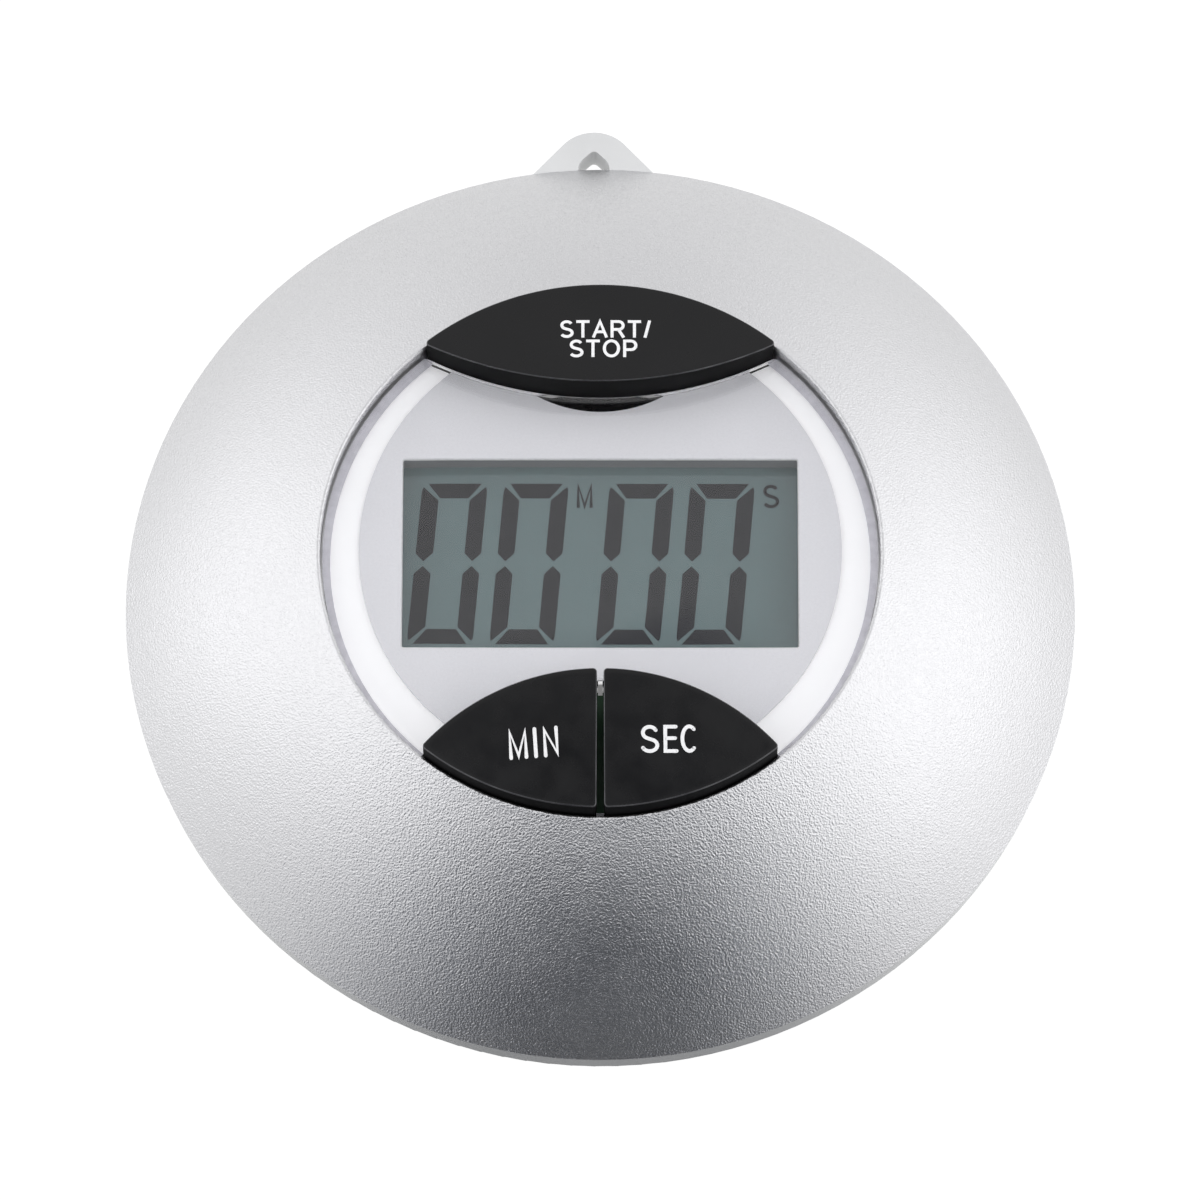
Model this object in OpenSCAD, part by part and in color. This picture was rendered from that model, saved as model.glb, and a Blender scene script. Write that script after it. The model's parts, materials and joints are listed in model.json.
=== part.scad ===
// Round digital lab timer, lying on its back, as an assembly of its real pieces.
// The origin is the centre of the flat back face. +Z comes out of the display, +Y points to the
// hanging eye and +X to the right of the display. All sizes are in millimetres.

/* [Case] */
// Diameter of the domed front shell at its rim
body_d = 95; // [94.6:0.1:96]
// Diameter of the round opening in the front shell
aperture_d = 55.1; // [54.9:0.05:55.2]
// Height of the seam between the back case and the front shell
seam_z = 4; // [3.9:0.05:4.1]
// Height of the opening's edge above the back face
aperture_z = 19.8; // [19.5:0.05:20]
// Wall thickness of the front shell
shell_t = 2; // [1.6:0.1:2.2]
// Thickness of the back case's floor
floor_t = 2; // [1.8:0.1:2.1]
// Distance of the four case screws from the centre
case_screw_pcr = 39; // [38.8:0.1:39.2]

/* [Hanging eye] */
// Distance of the eye's tip from the centre
eye_tip_y = 51.65; // [51.2:0.05:52.5]
// Sideways offset of the eye
eye_x = -0.65; // [-1:0.05:1]
// Thickness of the eye
eye_t = 3.4; // [2.8:0.1:3.6]

/* [Window] */
// Height of the lens's top face
lens_z = 18.7; // [18.6:0.05:18.9]
// Height of the dial plate's top face
dial_z = 17; // [16.9:0.05:17]
// Radius of the round dial plate
dial_r = 23.8; // [23.4:0.1:24.2]
// Width of the display window
window_w = 39.2; // [38:0.1:39.6]
// Height of the display window
window_h = 19.95; // [19:0.05:20.2]

/* [Buttons] */
// Travel of every button
button_travel = 0.8; // [0.4:0.1:0.8]
// Gap between a button and what it moves in
button_gap = 0.15; // [0.1:0.01:0.2]
// Radius of the start/stop button's inner edge
start_arc_r = 37.4; // [36.5:0.1:38.5]
// Distance from the centre to the start/stop opening
start_y = 16.55; // [16.4:0.05:16.9]
// Radius of the inner edge of the minute and second buttons
set_arc_r = 23.7; // [23.4:0.1:24]
// Distance from the centre to the opening of the minute and second buttons
set_y = 13.3; // [13.2:0.05:13.4]
// Gap between the minute and second buttons
set_split = 0.6; // [0.4:0.05:0.8]
// Radius of the spherical crown that the button tops lie on
crown_r = 260; // [240:5:320]
// Height of the button tops at the edge of the opening
crown_edge_z = 21.8; // [21.6:0.1:22]

/* [Stand] */
// Length of the fold-out stand from its hinge to its tip
stand_l = 35.5; // [30:0.5:35.5]
// Width of the stand
stand_w = 22; // [18:0.5:22]
// Radius of the steel hinge pin
stand_pin_r = 0.75; // [0.6:0.01:0.78]

/* [Battery] */
// Radius of the button cell
cell_r = 5.8; // [5.7:0.01:5.85]
// Height of the button cell
cell_h = 5.4; // [5.3:0.01:5.4]
// Radius of the battery cover
cover_r = 9; // [8.8:0.1:9.1]

/* [Hidden] */
$fn = 96;

// Dome of the front shell: one sphere through the rim and the opening's edge
rim_r = body_d / 2;
aperture_r = aperture_d / 2;
dome_z = (rim_r^2 + seam_z^2 - aperture_r^2 - aperture_z^2) / (2 * (seam_z - aperture_z));
dome_r = sqrt(rim_r^2 + (seam_z - dome_z)^2);
lip_r = 0.25;
lip_step = 0.01;
sleeve_r = aperture_r + 1.75;
sleeve_z = 15.2;

// Back case
back_r = rim_r - 0.3;
back_edge_r = 1;
locating_ring_r = 44.1;
locating_ring_t = 1.5;
locating_ring_z = seam_z + 1.4;
shell_rebate_h = 1.6;

// Case screws, driven from the back into posts of the front shell
case_screw_angles = [45, 135, 225, 315];
case_boss_r = 4;
case_boss_z = 3.6;
case_post_r = 2.8;
case_screw_head_r = 2.1;
case_screw_head_z = 0.6;
case_screw_web_z = 2.2;
case_screw_top_z = 8.4;
case_screw_r = 1;

// Circuit board and its screws, driven up through the inner frame into the front shell
board_r = 34;
board_z = 9.6;
board_t = 1.6;
board_top_z = board_z + board_t;
board_screw_pcr = 31;
board_screw_angles = [0, 90, 180, 270];
board_screw_r = 0.95;
board_screw_head_r = 1.9;
board_screw_head_h = 1.4;
board_screw_top_z = 15;
board_post_r = 2.2;
screw_play = 0.02;

// Inner frame: a white plate under the lens on side skirts and a flange
frame_r = aperture_r - 0.1;
frame_ring_r = 33;
frame_inner_r = 26;
frame_ring_t = 1.4;
frame_ring_z = board_top_z + frame_ring_t;
dial_t = 0.3;
frame_plate_t = 1.3;
frame_plate_z = dial_z - dial_t - frame_plate_t;
frame_skirt_y = 16;
dial_y = 1;
window_y = 0.5;
window_corner_r = 0.3;
start_notch_r = 12.7;
start_notch_depth = 1.15;
split_rib_w = set_split - 0.16;
split_rib_t = 0.35;
lens_fillet_r = 1.3;

// Buttons
start_arc_y = start_y + start_arc_r;
set_arc_y = -set_y - set_arc_r;
button_z = 13.6;
flange_top_z = 15;
flange_w = 0.8;
start_flange_w = 1.15;
button_wall = 1.2;
button_roof_z = 20.2;
plunger_r = 1.8;
crown_z = crown_edge_z - sqrt(crown_r^2 - aperture_r^2);
start_key = [0, 21.5];
min_key = [-9, -20.3];
sec_key = [9, -20.3];
key_top_z = button_z - 0.05;

// Display stack, from the polariser down to the reflector
lcd_w = 42.2;
lcd_h = 22.5;
lcd_ledge = 1.5;
glass_t = 1.1;
film_t = 0.2;
polariser_top_z = 14.7;
front_glass_z = polariser_top_z - film_t - glass_t;
rear_glass_z = front_glass_z - glass_t;
reflector_z = rear_glass_z - film_t;
lcd_play = 0.1;
holder_wall = 1;
holder_lip_z = polariser_top_z + 0.05;
zebra_w = 1.3;
zebra_l = 40;

// Battery well, cover and contacts
cell_x = 16;
cell_y = 17;
well_r = 6;
well_wall = 1.7;
well_top_z = 8.4;
well_bottom_z = 3.9;
cover_out_z = 0.1;
cover_seat_z = 1.5;
cover_plug_r = 6.9;
cover_plug_z = 3;
cover_play = 0.2;
lug_r = 8;
lug_w = 4.5;
lug_z = 2.4;
coin_slot_l = 12;
coin_slot_w = 1.8;
coin_slot_z = 0.9;
groove_z = 2.3;
groove_top_z = 3.7;
unlock_angle = -45;
battery_boss_z = 4.4;
cell_z = cover_plug_z + 0.05;
cell_top_z = cell_z + cell_h;
cell_cap_h = 0.4;
cell_cap_r = 4.8;
leaf_t = 0.25;

// Buzzer disc on a ring of the back case
buzzer_x = -16;
buzzer_y = 17;
buzzer_r = 10;
buzzer_z = 2.6;
buzzer_t = 0.2;
ceramic_r = 7;
ceramic_t = 0.15;
sound_hole_r = 0.8;
sound_hole_pcr = 3.2;
lead_r = 0.45;
// The two leads rise from the disc and curve over to the underside of the board
red_lead_route = [[-13, 17, 2.95], [-13, 17, 8], [-6, 12, 5], [-6, 12, 9.6]];
black_lead_route = [[-7.5, 17, 2.8], [-7.5, 17, 8], [-2.5, 14, 5], [-2.5, 14, 9.6]];

// Stand, its pin and the pocket that it folds into
stand_y = -4;
stand_axis_z = 1.75;
stand_out_z = 0.3;
stand_in_z = 2.2;
stand_barrel_r = 1.45;
stand_pin_l = 26;
stand_bore_play = 0.05;
pocket_z = 2.6;
pocket_side = 0.4;
pocket_end = 0.6;
finger_scoop_r = 4.6;
finger_scoop_z = 1.2;
hinge_pocket_z = 3.5;
hinge_pocket_y = 2.1;
tray_w = 28;
tray_z = 4.6;
tray_y = -41;

// Magnets glued into pockets of the back
magnet_x = 25;
magnet_y = -14;
magnet_r = 6;
magnet_t = 2;
magnet_out_z = 0.1;
magnet_boss_r = 7.4;
magnet_boss_z = 3.4;

// ---------- shared shapes ----------

// Places its children on a circle at each of the given angles
module around(radius, angles) {
    for (a = angles) {
        rotate(a) translate([radius, 0, 0]) children();
    }
}

// Upright cylinder between two heights
module disc(radius, low, high) {
    translate([0, 0, low]) cylinder(r = radius, h = high - low);
}

// Upright tube between two heights
module tube(outer, inner, low, high) {
    translate([0, 0, low]) linear_extrude(high - low) difference() {
        circle(outer);
        circle(inner);
    }
}

// Box centred in X and Y between two heights
module slab(width, depth, low, high) {
    translate([-width / 2, -depth / 2, low]) cube([width, depth, high - low]);
}

// Rectangle with true round corners, centred on the origin
module rounded_rect(width, depth, corner) {
    square([width - 2 * corner, depth], center = true);
    square([width, depth - 2 * corner], center = true);
    for (x = [-1, 1], y = [-1, 1]) {
        translate([x * (width / 2 - corner), y * (depth / 2 - corner)]) circle(corner);
    }
}

// Upper half space above a height, as a large block
module above(height) {
    slab(3 * body_d, 3 * body_d, height, height + body_d);
}

// Solid dome whose surface lies inside the outer one by an inset, from a height upwards
module dome(inset, height) {
    intersection() {
        translate([0, 0, dome_z]) sphere(dome_r - inset, $fn = 256);
        above(height);
    }
}

// Outline of the start/stop button, grown outwards at the opening and towards the centre
module start_outline(outward, inward) {
    intersection() {
        circle(aperture_r - button_gap + outward);
        translate([0, start_arc_y]) circle(start_arc_r - button_gap + inward);
    }
}

// Outline of the minute and second buttons together, grown in the same way
module set_outline(outward, inward) {
    intersection() {
        circle(aperture_r - button_gap + outward);
        translate([0, set_arc_y]) circle(set_arc_r - button_gap + inward);
    }
}

// Half of set_outline on the side given by sign, kept clear of the split by an inset
module half_outline(sign, outward, inward, inset) {
    intersection() {
        set_outline(outward, inward);
        translate([sign * (aperture_r + set_split / 2 + inset), 0]) {
            square([2 * aperture_r, 3 * aperture_r], center = true);
        }
    }
}

// Everything below the spherical crown of the button tops
module crown() {
    intersection() {
        translate([0, 0, crown_z]) sphere(crown_r, $fn = 360);
        disc(aperture_r + 5, 0, crown_edge_z + 10);
    }
}

// Opening cut in the frame plate and the dial for the display
module window_cut(margin) {
    translate([0, window_y]) {
        rounded_rect(window_w + 2 * margin, window_h + 2 * margin, window_corner_r + margin);
    }
}

// Round notch in the dial in front of the start/stop button
module start_notch(margin) {
    translate([0, start_y - start_notch_depth + start_notch_r]) circle(start_notch_r + margin);
}

// Openings for all the buttons and for the display in the plate under the lens
module plate_cuts(margin) {
    window_cut(margin);
    start_notch(margin);
    start_outline(1, button_gap + margin);
    set_outline(1, button_gap + margin);
}

// Steel screw with a pan head at the bottom and a cross recess, standing on the origin
module screw(head_r, head_h, shaft_r, shaft_l) {
    difference() {
        union() {
            cylinder(r = head_r, h = head_h);
            cylinder(r = shaft_r, h = head_h + shaft_l);
        }
        for (a = [0, 90]) {
            rotate(a) slab(1.3 * head_r, 0.28 * head_r, -1, 0.5 * head_h);
        }
    }
}

// ---------- front ----------

// Region above the rounded lip of the front shell's opening. The round ends lip_step below the dome
module lip_cut() {
    centre_r = aperture_r + lip_r;
    centre_z = dome_z + sqrt((dome_r - lip_r)^2 - centre_r^2);
    normal = [centre_r, centre_z - dome_z] / (dome_r - lip_r);
    touch = [centre_r, centre_z] + lip_r * normal;
    rotate_extrude() difference() {
        polygon([
            [aperture_r - 0.5, centre_z], [centre_r, centre_z], touch,
            touch + normal, [aperture_r - 0.5, centre_z + 2]
        ]);
        translate([centre_r, centre_z]) circle(lip_r - lip_step);
    }
}

module front_shell() color("silver") {
    difference() {
        union() {
            difference() {
                dome(0, seam_z);
                dome(shell_t, 0);
                disc(locating_ring_r + 0.1, 0, seam_z + shell_rebate_h);
            }
            intersection() {
                dome(0, seam_z);
                disc(sleeve_r, sleeve_z, aperture_z + 5);
            }
            intersection() {
                dome(shell_t / 2, 0);
                union() {
                    around(case_screw_pcr, case_screw_angles) disc(case_post_r, case_boss_z, aperture_z);
                    around(board_screw_pcr, board_screw_angles) disc(board_post_r, frame_ring_z, aperture_z);
                }
            }
        }
        disc(aperture_r, 0, aperture_z + 10);
        lip_cut();
        around(case_screw_pcr, case_screw_angles) disc(case_screw_r + screw_play, 0, case_screw_top_z + 0.4);
        around(board_screw_pcr, board_screw_angles) {
            disc(board_screw_r + screw_play, 0, board_screw_top_z + 0.3);
        }
    }
}

module window_lens() color([0.9, 0.93, 0.96, 0.4]) {
    difference() {
        union() {
            disc(frame_r, dial_z, lens_z - lens_fillet_r);
            disc(frame_r - lens_fillet_r, dial_z, lens_z);
            translate([0, 0, lens_z - lens_fillet_r]) rotate_extrude() intersection() {
                translate([frame_r - lens_fillet_r, 0]) circle(lens_fillet_r);
                square([frame_r, lens_fillet_r]);
            }
        }
        translate([0, 0, dial_z - 1]) linear_extrude(lens_z - dial_z + 2) {
            start_outline(1, button_gap);
            set_outline(1, button_gap);
        }
    }
}

module dial_plate() color("gainsboro") {
    translate([0, 0, dial_z - dial_t]) linear_extrude(dial_t) difference() {
        translate([0, dial_y]) circle(dial_r);
        plate_cuts(0);
    }
}

module inner_frame() color("white") {
    difference() {
        tube(frame_ring_r, frame_inner_r, board_top_z, frame_ring_z);
        around(board_screw_pcr, board_screw_angles) disc(board_screw_r + 0.15, 0, frame_ring_z + 1);
    }
    intersection() {
        tube(frame_r, frame_inner_r, frame_ring_z, frame_plate_z);
        slab(2 * body_d, 2 * frame_skirt_y, 0, frame_plate_z);
    }
    translate([0, 0, frame_plate_z]) linear_extrude(frame_plate_t) difference() {
        circle(frame_r);
        plate_cuts(0.1);
    }
    // Short rib between the minute and second buttons, standing before the edge of the lens
    translate([-split_rib_w / 2, -set_y - split_rib_t, frame_plate_z]) {
        cube([split_rib_w, split_rib_t + 0.5, frame_plate_t]);
        cube([split_rib_w, split_rib_t - 0.02, lens_z - 0.1 - frame_plate_z]);
    }
}

// ---------- buttons ----------

module start_stop_button() color("#2c2b2e") {
    translate([0, 0, button_z]) linear_extrude(flange_top_z - button_z) difference() {
        start_outline(flange_w, start_flange_w);
        start_outline(-button_wall, -button_wall);
    }
    difference() {
        intersection() {
            translate([0, 0, button_z]) linear_extrude(aperture_z) start_outline(0, 0);
            crown();
        }
        translate([0, 0, button_z - 1]) linear_extrude(button_roof_z - button_z + 1) {
            start_outline(-button_wall, -button_wall);
        }
    }
    translate([start_key.x, start_key.y, 0]) disc(plunger_r, button_z, button_roof_z + 0.5);
}

// Minute or second button, on the side given by sign
module set_button(sign, key) {
    translate([0, 0, button_z]) linear_extrude(flange_top_z - button_z) difference() {
        half_outline(sign, flange_w, flange_w, 0);
        half_outline(sign, -button_wall, -button_wall, button_wall);
    }
    difference() {
        intersection() {
            translate([0, 0, button_z]) linear_extrude(aperture_z) half_outline(sign, 0, 0, 0);
            crown();
        }
        translate([0, 0, button_z - 1]) linear_extrude(button_roof_z - button_z + 1) {
            half_outline(sign, -button_wall, -button_wall, button_wall);
        }
    }
    translate([key.x, key.y, 0]) disc(plunger_r, button_z, button_roof_z + 0.5);
}

module min_button() color("#222126") set_button(-1, min_key);

module sec_button() color("#222126") set_button(1, sec_key);

// Rubber key with a thin conical skirt and a conductive pill over the board
module key_dome(key, base_r) {
    top_r = 2;
    skirt_t = 0.55;
    foot_h = 0.5;
    pill_r = 1.3;
    pill_z = board_top_z + button_travel;
    translate([key.x, key.y, 0]) rotate_extrude() polygon([
        [0, key_top_z], [top_r, key_top_z], [top_r, key_top_z - skirt_t],
        [base_r - 0.7, board_top_z + foot_h], [base_r, board_top_z + foot_h],
        [base_r, board_top_z], [base_r - 1, board_top_z],
        [pill_r + 0.4, pill_z + foot_h], [pill_r, pill_z + foot_h], [pill_r, pill_z], [0, pill_z]
    ]);
}

module start_stop_key_dome() color("dimgray") key_dome(start_key, 4);

module min_key_dome() color("dimgray") key_dome(min_key, 3.5);

module sec_key_dome() color("dimgray") key_dome(sec_key, 3.5);

// ---------- display ----------

module lcd_front_polariser() color("#6f7c7c") {
    translate([0, window_y, 0]) slab(lcd_w - 1.2, lcd_h - 1.1, polariser_top_z - film_t, polariser_top_z);
}

module lcd_front_glass() color([0.75, 0.85, 0.85, 0.5]) {
    translate([0, window_y, 0]) slab(lcd_w, lcd_h, front_glass_z, front_glass_z + glass_t);
}

module lcd_rear_glass() color([0.75, 0.85, 0.85, 0.5]) {
    translate([0, window_y, 0]) slab(lcd_w, lcd_h - 2 * lcd_ledge, rear_glass_z, front_glass_z);
}

module lcd_reflector() color("#9aa3a0") {
    translate([0, window_y, 0]) slab(lcd_w - 1.2, lcd_h - 2 * lcd_ledge - 0.5, reflector_z, rear_glass_z);
}

module lcd_holder() color("whitesmoke") {
    inner_w = lcd_w + 2 * lcd_play;
    inner_h = lcd_h + 2 * lcd_play;
    translate([0, window_y, 0]) difference() {
        slab(inner_w + 2 * holder_wall, inner_h + 2 * holder_wall, board_top_z, frame_plate_z);
        slab(inner_w, inner_h, 0, holder_lip_z);
        slab(window_w + 0.6, window_h + 0.6, 0, frame_plate_z + 1);
    }
}

module zebra_strips() color("#c9c4bb") {
    for (side = [-1, 1]) {
        translate([0, window_y + side * (lcd_h - lcd_ledge) / 2, 0]) {
            slab(zebra_l, zebra_w, board_top_z, front_glass_z);
        }
    }
}

// ---------- board ----------

module circuit_board() color("#2f6b3a") {
    difference() {
        disc(board_r, board_z, board_top_z);
        around(board_screw_pcr, board_screw_angles) disc(board_screw_r + 0.15, 0, board_top_z + 1);
    }
}

module chip_blob() color("#141416") {
    blob_r = 5;
    blob_h = 1.2;
    ball_r = (blob_r^2 + blob_h^2) / (2 * blob_h);
    translate([0, 6, board_z - blob_h]) intersection() {
        translate([0, 0, ball_r]) sphere(ball_r);
        cylinder(r = blob_r + 0.5, h = blob_h);
    }
}

// Tuning-fork crystal can lying on the board, on two bent leads
module quartz_crystal() color("lightsteelblue") {
    can_r = 1;
    can_l = 6;
    translate([6, -8, board_z - can_r]) {
        rotate([0, 90, 0]) cylinder(r = can_r, h = can_l);
        for (side = [-1, 1]) {
            translate([-1.5, 0.5 * side, 0]) {
                rotate([0, 90, 0]) cylinder(r = 0.15, h = 1.5);
                cylinder(r = 0.15, h = can_r);
            }
        }
    }
}

// Small resistors and capacitors under the board: place and turn of each
module chip_components() color("#8c7a63") {
    places = [[-10, -2, 0], [-10, 2, 0], [-10, -6, 90], [9, 1, 90], [12, 1, 90], [-14, 0, 90], [0, -6, 0]];
    for (p = places) {
        translate([p[0], p[1], 0]) rotate(p[2]) slab(2, 1.25, board_z - 0.6, board_z);
    }
}

module board_screws() color("silver") {
    around(board_screw_pcr, board_screw_angles) translate([0, 0, board_z - board_screw_head_h]) {
        screw(board_screw_head_r, board_screw_head_h, board_screw_r, board_screw_top_z - board_z);
    }
}

// ---------- buzzer ----------

module buzzer_plate() color("goldenrod") {
    translate([buzzer_x, buzzer_y, 0]) disc(buzzer_r, buzzer_z, buzzer_z + buzzer_t);
}

module buzzer_ceramic() color("beige") {
    translate([buzzer_x, buzzer_y, 0]) {
        disc(ceramic_r, buzzer_z + buzzer_t, buzzer_z + buzzer_t + ceramic_t);
    }
}

// Point on a cubic curve with four control points, and its direction there
function curve_point(p, u) =
    (1 - u)^3 * p[0] + 3 * u * (1 - u)^2 * p[1] + 3 * u^2 * (1 - u) * p[2] + u^3 * p[3];
function curve_direction(p, u) =
    (1 - u)^2 * (p[1] - p[0]) + 2 * u * (1 - u) * (p[2] - p[1]) + u^2 * (p[3] - p[2]);
function unit(v) = v / norm(v);

// Round wire swept along a cubic curve, with flat ends
module wire(route, radius) {
    rings = 16;
    sides = 8;
    points = [
        for (i = [0:rings]) let (
            u = i / rings,
            along = unit(curve_direction(route, u)),
            across = unit(cross(along, [0.6, 0.8, 0])),
            up = cross(along, across)
        ) for (k = [0:sides - 1]) let (a = 360 * k / sides)
            curve_point(route, u) + radius * (cos(a) * across + sin(a) * up)
    ];
    walls = [
        for (i = [0:rings - 1], k = [0:sides - 1]) let (n = (k + 1) % sides)
            [i * sides + k, (i + 1) * sides + k, (i + 1) * sides + n, i * sides + n]
    ];
    start_cap = [for (k = [0:sides - 1]) k];
    end_cap = [for (k = [sides - 1:-1:0]) rings * sides + k];
    polyhedron(points, concat(walls, [start_cap, end_cap]));
}

module buzzer_lead_red() color("firebrick") wire(red_lead_route, lead_r);

module buzzer_lead_black() color("#1a1a1a") wire(black_lead_route, lead_r);

// ---------- battery ----------

module at_cell() {
    translate([cell_x, cell_y, 0]) children();
}

module button_cell() color("silver") at_cell() {
    disc(cell_r, cell_z, cell_top_z - cell_cap_h);
    disc(cell_cap_r, cell_z + 1, cell_top_z);
}

module positive_contact() color("tan") at_cell() {
    translate([cell_r, -1.5, well_bottom_z + 0.3]) cube([leaf_t, 3, board_z - well_bottom_z - 0.3]);
    translate([cell_r, -1.5, board_z - leaf_t]) cube([3.4, 3, leaf_t]);
}

module negative_contact() color("tan") at_cell() {
    disc(2.2, cell_top_z, cell_top_z + leaf_t);
    translate([-2.2, -1.2, cell_top_z]) cube([leaf_t, 2.4, board_z - cell_top_z]);
    translate([-4.6, -1.2, board_z - leaf_t]) cube([2.6, 2.4, leaf_t]);
}

// Pair of bayonet lugs of a given reach and width
module lugs(reach, width, low, high) {
    intersection() {
        disc(reach, low, high);
        slab(4 * reach, width, low, high);
    }
}

module battery_cover() color("lightgray") at_cell() {
    difference() {
        union() {
            disc(cover_r, cover_out_z, cover_seat_z);
            disc(cover_plug_r, cover_seat_z - 0.1, cover_plug_z);
            lugs(lug_r, lug_w, lug_z, cover_plug_z);
        }
        slab(coin_slot_l, coin_slot_w, -1, coin_slot_z);
    }
}

// Cuts of the well for the cover, its lugs, the cell and the side contact
module battery_cuts() {
    disc(cover_r + cover_play, -1, cover_seat_z + 0.1);
    disc(cover_plug_r + cover_play, -1, well_bottom_z);
    disc(lug_r + cover_play, groove_z, groove_top_z);
    rotate(unlock_angle) lugs(lug_r + cover_play, lug_w + 0.6, -1, groove_top_z);
    disc(well_r, 0, well_top_z + 1);
    translate([well_r - 1, -1.8, well_bottom_z + 0.1]) cube([4, 3.6, well_top_z]);
}

// ---------- back ----------

// Flat shape of the hanging eye: a round tip with straight flanks that run into the case
module eye_outline() {
    tip_r = 4.3;
    flank = 43;
    run = 10;
    centre_y = eye_tip_y - tip_r;
    inset = 0.01;
    touch = [0, centre_y] + (tip_r - inset) * [cos(flank), sin(flank)];
    foot = touch + run * [sin(flank), -cos(flank)];
    translate([eye_x, 0]) {
        translate([0, centre_y]) circle(tip_r);
        polygon([touch, foot, [foot.x, 40], [-foot.x, 40], [-foot.x, foot.y], [-touch.x, touch.y]]);
    }
}

// Tapered hole of the hanging eye: a narrow top that widens to a round bottom
module eye_hole() {
    top_r = 0.5;
    low_r = 1.6;
    top_y = eye_tip_y - 2.1 - top_r;
    low_y = top_y - 1.5;
    lean = asin((low_r - top_r) / (top_y - low_y));
    side = [cos(lean), sin(lean)];
    translate([eye_x, 0]) {
        translate([0, top_y]) circle(top_r);
        translate([0, low_y]) circle(low_r);
        polygon([
            [0, top_y] + top_r * side, [0, low_y] + low_r * side,
            [-low_r * side.x, low_y + low_r * side.y], [-top_r * side.x, top_y + top_r * side.y]
        ]);
    }
}

// Round dish with a rounded outer edge and a raised ring that centres the front shell
module back_dish() {
    disc(back_r - back_edge_r, 0, floor_t);
    translate([0, 0, back_edge_r]) rotate_extrude() {
        intersection() {
            translate([back_r - back_edge_r, 0]) circle(back_edge_r);
            translate([0, -back_edge_r]) square([back_r, back_edge_r]);
        }
    }
    tube(back_r, locating_ring_r - locating_ring_t, back_edge_r, seam_z);
    disc(back_r - 0.5, back_edge_r, floor_t);
    tube(locating_ring_r, locating_ring_r - locating_ring_t, floor_t - 0.5, locating_ring_z);
    translate([0, 0, seam_z - eye_t]) linear_extrude(eye_t) intersection() {
        eye_outline();
        translate([-back_r, back_r - 3]) square([2 * back_r, 12]);
    }
}

// Pocket that the folded stand lies in, with the deeper part for its hinge barrel
module stand_pocket() {
    half_w = stand_w / 2 + pocket_side;
    tip_y = stand_y - stand_l - pocket_end;
    translate([-half_w, tip_y, -1]) cube([2 * half_w, stand_y + hinge_pocket_y - tip_y, pocket_z + 1]);
    translate([-half_w, stand_y - hinge_pocket_y, -1]) {
        cube([2 * half_w, 2 * hinge_pocket_y, hinge_pocket_z + 1]);
    }
    translate([0, tip_y, 0]) disc(finger_scoop_r, -1, finger_scoop_z);
    translate([-stand_pin_l / 2 - 0.2, stand_y, stand_axis_z]) rotate([0, 90, 0]) {
        cylinder(r = stand_pin_r + screw_play, h = stand_pin_l + 0.4);
    }
}

module back_case() color("lightgray") {
    difference() {
        union() {
            back_dish();
            around(case_screw_pcr, case_screw_angles) disc(case_boss_r, 0, case_boss_z);
            at_cell() disc(cover_r + 1.4, 0, battery_boss_z);
            at_cell() disc(well_r + well_wall, 0, well_top_z);
            for (side = [-1, 1]) {
                translate([side * magnet_x, magnet_y, 0]) disc(magnet_boss_r, 0, magnet_boss_z);
            }
            translate([-tray_w / 2, tray_y, 0]) cube([tray_w, -0.4 - tray_y, tray_z]);
            translate([buzzer_x, buzzer_y, 0]) tube(buzzer_r, buzzer_r - 1.2, 0, buzzer_z);
        }
        around(case_screw_pcr, case_screw_angles) {
            disc(case_screw_head_r + 0.4, -1, case_screw_web_z);
            disc(case_screw_r + 0.2, -1, case_boss_z + 1);
        }
        at_cell() battery_cuts();
        for (side = [-1, 1]) {
            translate([side * magnet_x, magnet_y, 0]) {
                disc(magnet_r + 0.05, -1, magnet_out_z + magnet_t + 0.05);
            }
        }
        stand_pocket();
        translate([buzzer_x, buzzer_y, 0]) {
            disc(sound_hole_r, -1, floor_t + 1);
            around(sound_hole_pcr, [0:60:300]) disc(sound_hole_r, -1, floor_t + 1);
        }
        linear_extrude(seam_z + 1) eye_hole();
    }
}

module case_screws() color("silver") {
    head_h = case_screw_web_z - case_screw_head_z;
    around(case_screw_pcr, case_screw_angles) translate([0, 0, case_screw_head_z]) {
        screw(case_screw_head_r, head_h, case_screw_r, case_screw_top_z - case_screw_web_z);
    }
}

module magnets() color("gray") {
    for (side = [-1, 1]) {
        translate([side * magnet_x, magnet_y, 0]) disc(magnet_r, magnet_out_z, magnet_out_z + magnet_t);
    }
}

// Flat leg with a hinge barrel at one end and a shallow finger groove at the other
module stand() color("lightgray") {
    corner = 3;
    difference() {
        union() {
            translate([0, stand_y - stand_l / 2, stand_out_z]) linear_extrude(stand_in_z - stand_out_z) {
                rounded_rect(stand_w, stand_l, corner);
                translate([0, corner]) square([stand_w, stand_l - 2 * corner], center = true);
            }
            translate([-stand_w / 2, stand_y, stand_axis_z]) rotate([0, 90, 0]) {
                cylinder(r = stand_barrel_r, h = stand_w);
            }
        }
        translate([-stand_w, stand_y, stand_axis_z]) rotate([0, 90, 0]) {
            cylinder(r = stand_pin_r + stand_bore_play, h = 2 * stand_w);
        }
        translate([-stand_w / 4, stand_y - stand_l + 3, stand_out_z - 1.2]) rotate([0, 90, 0]) {
            cylinder(r = 1.8, h = stand_w / 2);
        }
    }
}

module stand_pin() color("silver") {
    translate([-stand_pin_l / 2, stand_y, stand_axis_z]) rotate([0, 90, 0]) {
        cylinder(r = stand_pin_r, h = stand_pin_l);
    }
}

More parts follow.
